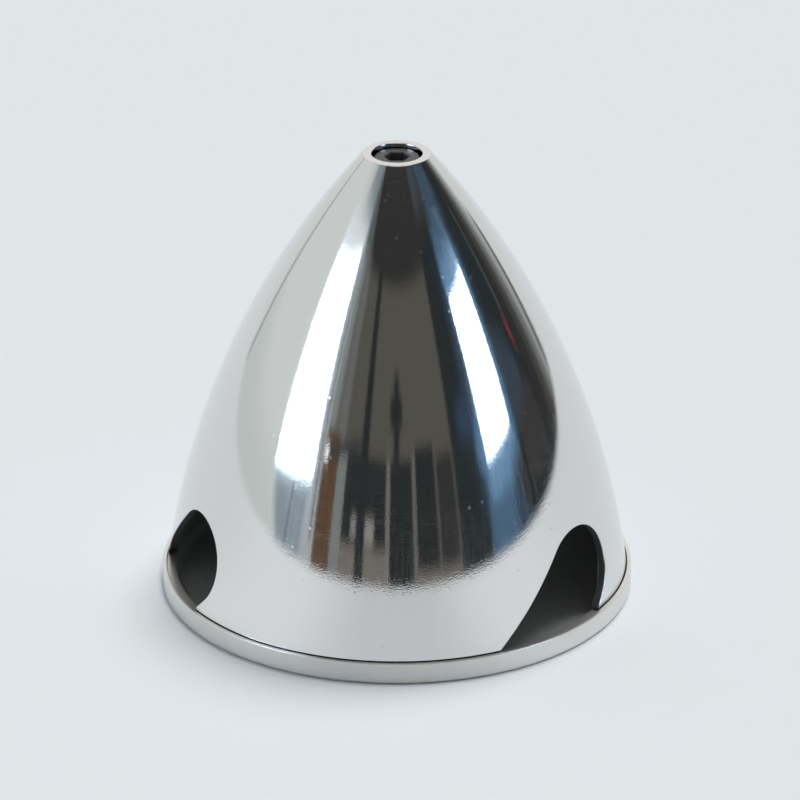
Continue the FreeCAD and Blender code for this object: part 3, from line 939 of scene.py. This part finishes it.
@dataclass
class NoseScrew:
    """The socket cap screw in the nose, with its thread and knurled head."""

    radius: float = 2.5 * MM
    pitch: float = 0.8 * MM
    thread_reach: float = 22.0 * MM
    thread_depth: float = 0.45 * MM
    head_radius: float = 4.25 * MM
    head_depth: float = 5.0 * MM
    head_edge: float = 0.4 * MM
    socket_flats: float = 4.0 * MM
    socket_reach: float = 2.5 * MM
    socket_mouth: float = 0.2 * MM
    socket_turn: float = math.radians(35.0)
    knurls: int = 48
    knurl_depth: float = 0.12 * MM
    knurl_margin: float = 0.7 * MM
    rows_per_pitch: int = 6
    segments: int = 192
    fine_steps: int = 6

    SOCKET_SHARE = 0.75

    def __post_init__(self) -> None:
        """Take the screw's ends from the frame, and set the thread and the knurl between them."""
        low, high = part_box("nose_screw")
        self.top, self.under = high.z, high.z - self.head_depth
        self.thread_low, self.thread_high = low.z, low.z + self.thread_reach
        self.thread_root = self.radius - self.thread_depth
        self.knurl_low = self.under + self.knurl_margin
        self.knurl_high = self.top - self.head_edge - self.knurl_margin
        self.knurl_radius = self.head_radius

    def section(self) -> list[Point]:
        """The screw's half section, from its tip up the outside to the head's middle."""
        root, end, head = self.thread_root, self.thread_high, self.head_radius
        pip = (head - self.head_edge, self.top - self.head_edge)
        rows = round(self.thread_reach / self.pitch * self.rows_per_pitch)
        return [
            (0.0, self.thread_low),
            *line((root, self.thread_low), (root, end), rows),
            (root, end),
            (self.radius, end + self.thread_depth),
            (self.radius, self.under),
            (head, self.under),
            (head, self.knurl_low - self.knurl_depth),
            (head, self.knurl_low),
            (head, self.knurl_high),
            (head, self.knurl_high + self.knurl_depth),
            *arc(pip, self.head_edge, 0.0, math.pi / 2, self.fine_steps),
            (0.0, self.top),
        ]

    def build(self) -> Object:
        """Make the screw: cut its socket, then raise its thread and press its knurl in; the socket is
        painted darker as shade.
        """
        flats, spare = self.socket_flats, self.head_depth
        floor, mouth = self.top - self.socket_reach, self.top - self.socket_mouth
        wide = flats + 2 * (self.socket_mouth + spare)
        levels = ((flats, floor), (flats, mouth), (wide, self.top + spare))
        rings = [[(*point, level) for point in hexagon(width, self.socket_turn)] for width, level in levels]
        skin = BLACKENED.build()
        cutter = tower("socket_cutter", rings)
        blank = turn_piece("screw_blank", self.section(), self.segments, skin, cutter)
        labels = ScrewCutting.THREAD + ScrewCutting.KNURL
        sizes = {label: getattr(self, label.lower().replace(" ", "_")) for label in labels}
        knobs = {"Blank": blank, "Knurls": self.knurls, "Material": skin, **sizes}
        screw = ScrewCutting("screw_cutting").make("spinner_screw", knobs)
        scrap(blank)
        radius, height = face_middles(screw.data)
        socket = (radius < self.SOCKET_SHARE * flats) & (height > floor - SAME_POINT)
        # Painted shade: the socket's faces take the darker copy.
        refinish(screw.data, (skin, SOCKET_SHADE.build()), socket & (height < self.top - SAME_POINT))
        return screw


# ---- Studio ----


@dataclass(frozen=True)
class Camera:
    """A long lens looking down on the spinner."""

    azimuth: float = math.radians(35.0)
    distance: float = 1.0494
    height: float = 0.5196
    pitch: float = math.radians(24.6925)
    aim_right: float = 0.00055285
    lens: float = 276.7

    def build(self) -> None:
        """Make the camera and use it."""
        data = bpy.data.cameras.new("studio_camera")
        data.lens = self.lens
        data.clip_start, data.clip_end = 0.05, 20.0
        camera = place("studio_camera", data)
        across, along = math.sin(self.azimuth), -math.cos(self.azimuth)
        camera.location = (self.distance * across, self.distance * along, self.height)
        camera.rotation_euler = (math.pi / 2 - self.pitch, 0.0, self.azimuth - self.aim_right)
        bpy.context.scene.camera = camera


@dataclass(frozen=True)
class Patch:
    """A four-sided patch of the room, by the bearings and heights of its corners in degrees.

    Bearings run from the front of the studio towards its right. Corners go round anticlockwise
    as seen from the middle: lower left, lower right, upper right, upper left.
    """

    light: Colour
    corners: tuple[Point, Point, Point, Point]
    soft: float


def mirrored(tone: Colour, times: float = 1.0) -> Colour:
    """The light that looks like a display colour in the polished shell."""
    return tuple(times * level / metal for level, metal in zip(shade(*tone), MIRROR))


def patch(tone: Colour, corners: tuple[Point, Point, Point, Point], soft: float) -> Patch:
    """A patch that looks like a display colour in the polished shell."""
    return Patch(mirrored(tone), corners, soft)


def block(tone: Colour, left: float, right: float, low: float, high: float, soft: float) -> Patch:
    """Such a patch with upright sides."""
    return patch(tone, ((left, low), (right, low), (right, high), (left, high)), soft)


FLOOR_COLOUR = shade(224, 229, 232)

# The room, later patches over earlier ones. SWEEP and PANEL are light; the rest are display tones.
LOW = -8
DARK, PALE, GREY = (38, 41, 42), (106, 102, 97), (112, 116, 114)
SWEEP, PANEL = (0.88, 0.87, 0.86), (4.6, 5.5, 6.6)
ROOM = (
    # Behind the spinner
    Patch(SWEEP, ((142, 12), (200, 12), (200, 46), (142, 46)), 8),
    Patch(SWEEP, ((-200, 12), (-142, 12), (-142, 46), (-200, 46)), 8),
    block((182, 188, 186), -127, -60, LOW, 6, 4),
    patch((156, 160, 158), ((-130, -2), (-126.5, -2), (-131, 20), (-134.5, 20)), 1.1),
    block((166, 171, 171), -100, -44, 41, 84, 6),
    block((118, 128, 132), -73, -44, 44, 84, 4),
    # Right
    block((150, 153, 151), 60, 129, LOW, 60, 3),
    block((104, 106, 104), 60, 122.5, LOW, 60, 3),
    block((62, 62, 60), 60, 117, LOW, 60, 3),
    patch((92, 95, 94), ((124.5, -1), (128, -1), (133, 9.5), (129, 10.5)), 1.2),
    # In front
    block((44, 45, 44), -46.5, 111, LOW, 62, 2),
    patch((84, 88, 90), ((-47, 38), (-34, 38), (-44, 52), (-52, 52)), 3),
    block((118, 123, 122), -46, -40, LOW, 41, 2),
    block((98, 99, 96), -40, -32, LOW, 41, 3),
    block((80, 78, 73), -32, 34.5, LOW, 41, 1.5),
    block((84, 64, 48), -45, -35.5, LOW, 18, 0.6),
    block(GREY, -35.5, -30, LOW, 16, 0.8),
    block(PALE, -30, -4, LOW, 4.5, 0.8),
    block(DARK, -30, -6, 4.5, 17, 0.8),
    block((126, 124, 120), -25, -22, 5.5, 8.5, 0.8),
    block((134, 131, 126), -17.5, -12.5, 5, 8.5, 0.8),
    block(DARK, -22, -17.5, LOW, 42, 0.8),
    patch((54, 57, 57), ((-44, 13.8), (-22, 17.6), (-22, 19.6), (-44, 15.6)), 0.5),
    Patch(mirrored((245, 245, 245), 1.2), ((-44.8, 13.8), (-42.2, 13.8), (-42.2, 15.4), (-44.8, 15.4)), 0.6),
    block((112, 108, 103), -6, -4, LOW, 17, 0.6),
    block(DARK, -4, 8.8, LOW, 17, 0.7),
    block(DARK, -2, 1.5, 17, 29, 1),
    block(DARK, -4.5, 3.5, 21.5, 26, 1),
    block((100, 97, 92), 9.5, 34, LOW, 1.5, 0.6),
    block((98, 95, 91), 8.8, 10.8, LOW, 18, 0.6),
    block(DARK, 10.8, 22, 1.5, 18.5, 0.7),
    block((46, 47, 47), 23.5, 33, 1.5, 16.5, 0.7),
    block((38, 43, 46), 34.5, 104, LOW, 43, 1.2),
    # Glow on the right
    patch((58, 74, 90), ((60, 44), (90, 34), (96, 38), (66, 52)), 4),
    patch((62, 66, 70), ((38, 48), (60, 46), (60, 56), (38, 58)), 3),
    patch((54, 68, 82), ((50, 8), (78, 8), (86, 30), (50, 36)), 5),
    block((50, 66, 82), 52, 76, LOW, 12, 3),
    block((62, 90, 114), 52, 68, LOW, 12, 2.5),
    block((92, 128, 156), 54.5, 70, 6, 12, 2),
    patch((62, 88, 112), ((54, 28), (84, 26), (80, 38), (56, 42)), 3),
    patch((132, 166, 192), ((58, 28), (80, 27), (79, 33), (58, 35)), 2),
    patch((48, 62, 80), ((40, 17), (55, 14), (55, 23), (40, 21)), 2),
    patch((70, 104, 136), ((49.5, 11), (57, 11), (57, 19), (50.5, 17)), 1.6),
    patch((54, 64, 74), ((78, 6), (96, 8), (96, 14), (80, 22)), 3),
    block((54, 53, 53), 75, 101, 1.5, 9, 1),
    block((37, 39, 41), 79.5, 81.7, LOW, 8, 0.8),
    block((72, 74, 74), 102.2, 103.8, 14, 27, 1),
    patch((118, 50, 58), ((100.5, 11.5), (103, 11.2), (102.8, 13.8), (100, 14.6)), 0.9),
    # Left
    patch((123, 135, 143), ((-60, LOW), (-47.5, LOW), (-47.5, 12), (-77, 9)), 2),
    patch((176, 194, 206), ((-75, 5.6), (-50, 8.6), (-50, 12), (-76, 9)), 1.2),
    block((92, 100, 108), -61.6, -60.4, LOW, 7.5, 0.5),
    block((152, 158, 162), -52, -45, LOW, 41, 1),
    block((96, 101, 104), -47.4, -46.4, 2.5, 41, 0.5),
    patch((208, 215, 219), ((-82, 30), (-51, 38), (-51, 43), (-84, 35)), 2.5),
    # Panels of light
    patch((84, 124, 158), ((54.5, 8), (78.5, 8), (81, 31), (54.5, 38)), 2.8),
    Patch(PANEL, ((55.5, 11.5), (76, 11.5), (79, 29.5), (55.5, 32)), 0.7),
    Patch(PANEL, ((-75.5, 7), (-49.8, 10.2), (-51.3, 39.5), (-81, 31)), 0.6),
)


class Studio:
    """Floor, room and lamp."""

    FLOOR_RADIUS = 1.6
    FLOOR_DROP = 0.02 * MM
    FLOOR_STEPS = 96
    FILL = 0.26
    LAMP_BEARING = math.radians(146.0)
    LAMP_SLANT = math.radians(19.0)
    LAMP_SPREAD = math.radians(32.0)
    # Painted light and shade on the paper, seen only in metal: darker straight ahead, lighter to both sides.
    PAPER_DIM, PAPER_BRIGHT = 0.86, 1.09
    PAPER_AHEAD, PAPER_SIDE = (46.0, 10.0), (98.0, 62.0)
    WALLS = (196, 200, 198)

    def build(self) -> None:
        """Make the whole studio."""
        self._floor()
        self._room()
        self._lamp()
        Camera().build()
        bpy.context.scene.view_settings.view_transform = "Standard"

    def _floor(self) -> None:
        """A pale disc under the spinner."""
        rim = arc((0.0, 0.0), self.FLOOR_RADIUS, 0.0, AXIS_TURN, self.FLOOR_STEPS)[:-1]
        level = CAD_BOX[0].z - self.FLOOR_DROP
        floor = plain("studio_floor", [(x, y, level) for x, y in rim], [], [tuple(range(len(rim)))])
        material = bpy.data.materials.new("studio_paper")
        material.use_nodes = True
        paint = Paint(material.node_tree)
        paper = paint.add("ShaderNodeBsdfDiffuse", {"Color": self._paper(paint)})
        paint.add("ShaderNodeOutputMaterial", {"Surface": paper.outputs[0]})
        floor.data.materials.append(material)

    def _paper(self, paint: Paint) -> NodeSocket:
        """The paper's colour; in metal it has painted shade straight ahead and painted light to both sides.
        """
        x, y, _ = paint.place()
        bearing = paint.maths("ABSOLUTE", self._bearing(paint, x, y))
        dim, bright = (
            tuple(part * level for level in FLOOR_COLOUR) for part in (self.PAPER_DIM, self.PAPER_BRIGHT)
        )
        # Painted light and shade: glossy rays see the paper darker ahead and lighter to the sides.
        sides = paint.mix(paint.step(bearing, *self.PAPER_SIDE), FLOOR_COLOUR, bright)
        shown = paint.mix(paint.step(bearing, *self.PAPER_AHEAD), sides, dim)
        glossy = paint.output(paint.add("ShaderNodeLightPath"), "Is Glossy Ray")
        return paint.mix(glossy, FLOOR_COLOUR, shown)

    @staticmethod
    def _bearing(paint: Paint, x: Channel, y: Channel) -> Channel:
        """Degrees from the front of the studio towards its right."""
        front = Camera().azimuth
        ahead = x * math.sin(front) - y * math.cos(front)
        right = x * math.cos(front) + y * math.sin(front)
        return paint.maths("ARCTAN2", right, ahead) * DEGREES

    def _room(self) -> None:
        """The room: the floor's colour to the eye, plain light to the floor, and its walls to metal."""
        world = bpy.data.worlds.new("studio_room")
        bpy.context.scene.world = world
        world.use_nodes = True
        paint = Paint(world.node_tree)
        x, y, z = paint.split(paint.add("ShaderNodeTexCoord").outputs["Generated"])
        bearing = self._bearing(paint, x, y)
        height = paint.maths("ARCSINE", z) * DEGREES
        room: Any = mirrored(self.WALLS)
        for part in ROOM:
            room = paint.mix(self._mask(paint, part, bearing, height), room, part.light)
        plain_light, shown, paper = (
            paint.add("ShaderNodeBackground", {"Color": light}).outputs[0]
            for light in ((self.FILL, self.FILL, self.FILL, 1.0), room, (*FLOOR_COLOUR, 1.0))
        )
        rays = paint.add("ShaderNodeLightPath")
        glossy, camera = (paint.output(rays, f"Is {kind} Ray") for kind in ("Glossy", "Camera"))
        lit = paint.add("ShaderNodeMixShader", {0: glossy, 1: plain_light, 2: shown}).outputs[0]
        seen = paint.add("ShaderNodeMixShader", {0: camera, 1: lit, 2: paper}).outputs[0]
        paint.add("ShaderNodeOutputWorld", {"Surface": seen})
        world.cycles.sampling_method = "NONE"

    def _lamp(self) -> None:
        """A broad lamp overhead, to the right and behind; with the fill it lights paper to its colour."""
        data = bpy.data.lights.new("studio_lamp", "SUN")
        data.energy = (1 - self.FILL) * math.pi / math.cos(self.LAMP_SLANT)
        data.angle = self.LAMP_SPREAD
        lamp = place("studio_lamp", data)
        lamp.rotation_euler = (self.LAMP_SLANT, 0.0, Camera().azimuth + self.LAMP_BEARING)
        lamp.visible_glossy = False

    @staticmethod
    def _mask(paint: Paint, part: Patch, bearing: Channel, height: Channel) -> Channel:
        """How far a direction lies inside a patch, from 0 to 1."""
        mask: Optional[Channel] = None
        for start, end in zip(part.corners, part.corners[1:] + part.corners[:1]):
            run, rise = end[0] - start[0], end[1] - start[1]
            length = math.hypot(run, rise)
            inward = height * (run / length) - bearing * (rise / length)
            edge = (start[1] * run - start[0] * rise) / length
            side = paint.step(inward, edge - part.soft, edge + part.soft)
            mask = side if mask is None else mask * side
        return mask


# ---- Assembly ----


def seat(piece: Object, node: str, slot: Slot) -> None:
    """Let a piece stand for a node of the frame.

    Args:
        piece: The finished piece.
        node: The node that it replaces.
        slot: Not used.
    """
    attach(piece, BODY)
    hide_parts(node)
    triangles = sum(len(face.vertices) - 2 for face in piece.data.polygons)
    LOG.info("%s stands for %s: %d triangles", piece.name, node, triangles)


def dress_node(node: str, finish: Finish) -> None:
    """Give a node of the frame its finish."""
    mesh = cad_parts[node].data
    mesh.materials[0] = finish.build()
    LOG.info("%s keeps its own shape with %s", node, finish.name)


def main() -> None:
    """Build the pieces in order, then the studio."""
    logging.basicConfig(level=logging.INFO, format="%(name)s: %(message)s")
    seat(Shell().build(), "spinner_cone", Slot.POLISHED)
    seat(Backplate().build(), "backplate", Slot.TURNED)
    seat(NoseScrew().build(), "nose_screw", Slot.BLACK_OXIDE)
    dress_node("prop_nut", BRIGHT)
    dress_node("prop_washer", BRIGHT)
    Studio().build()


if __name__ == "__main__":
    main()
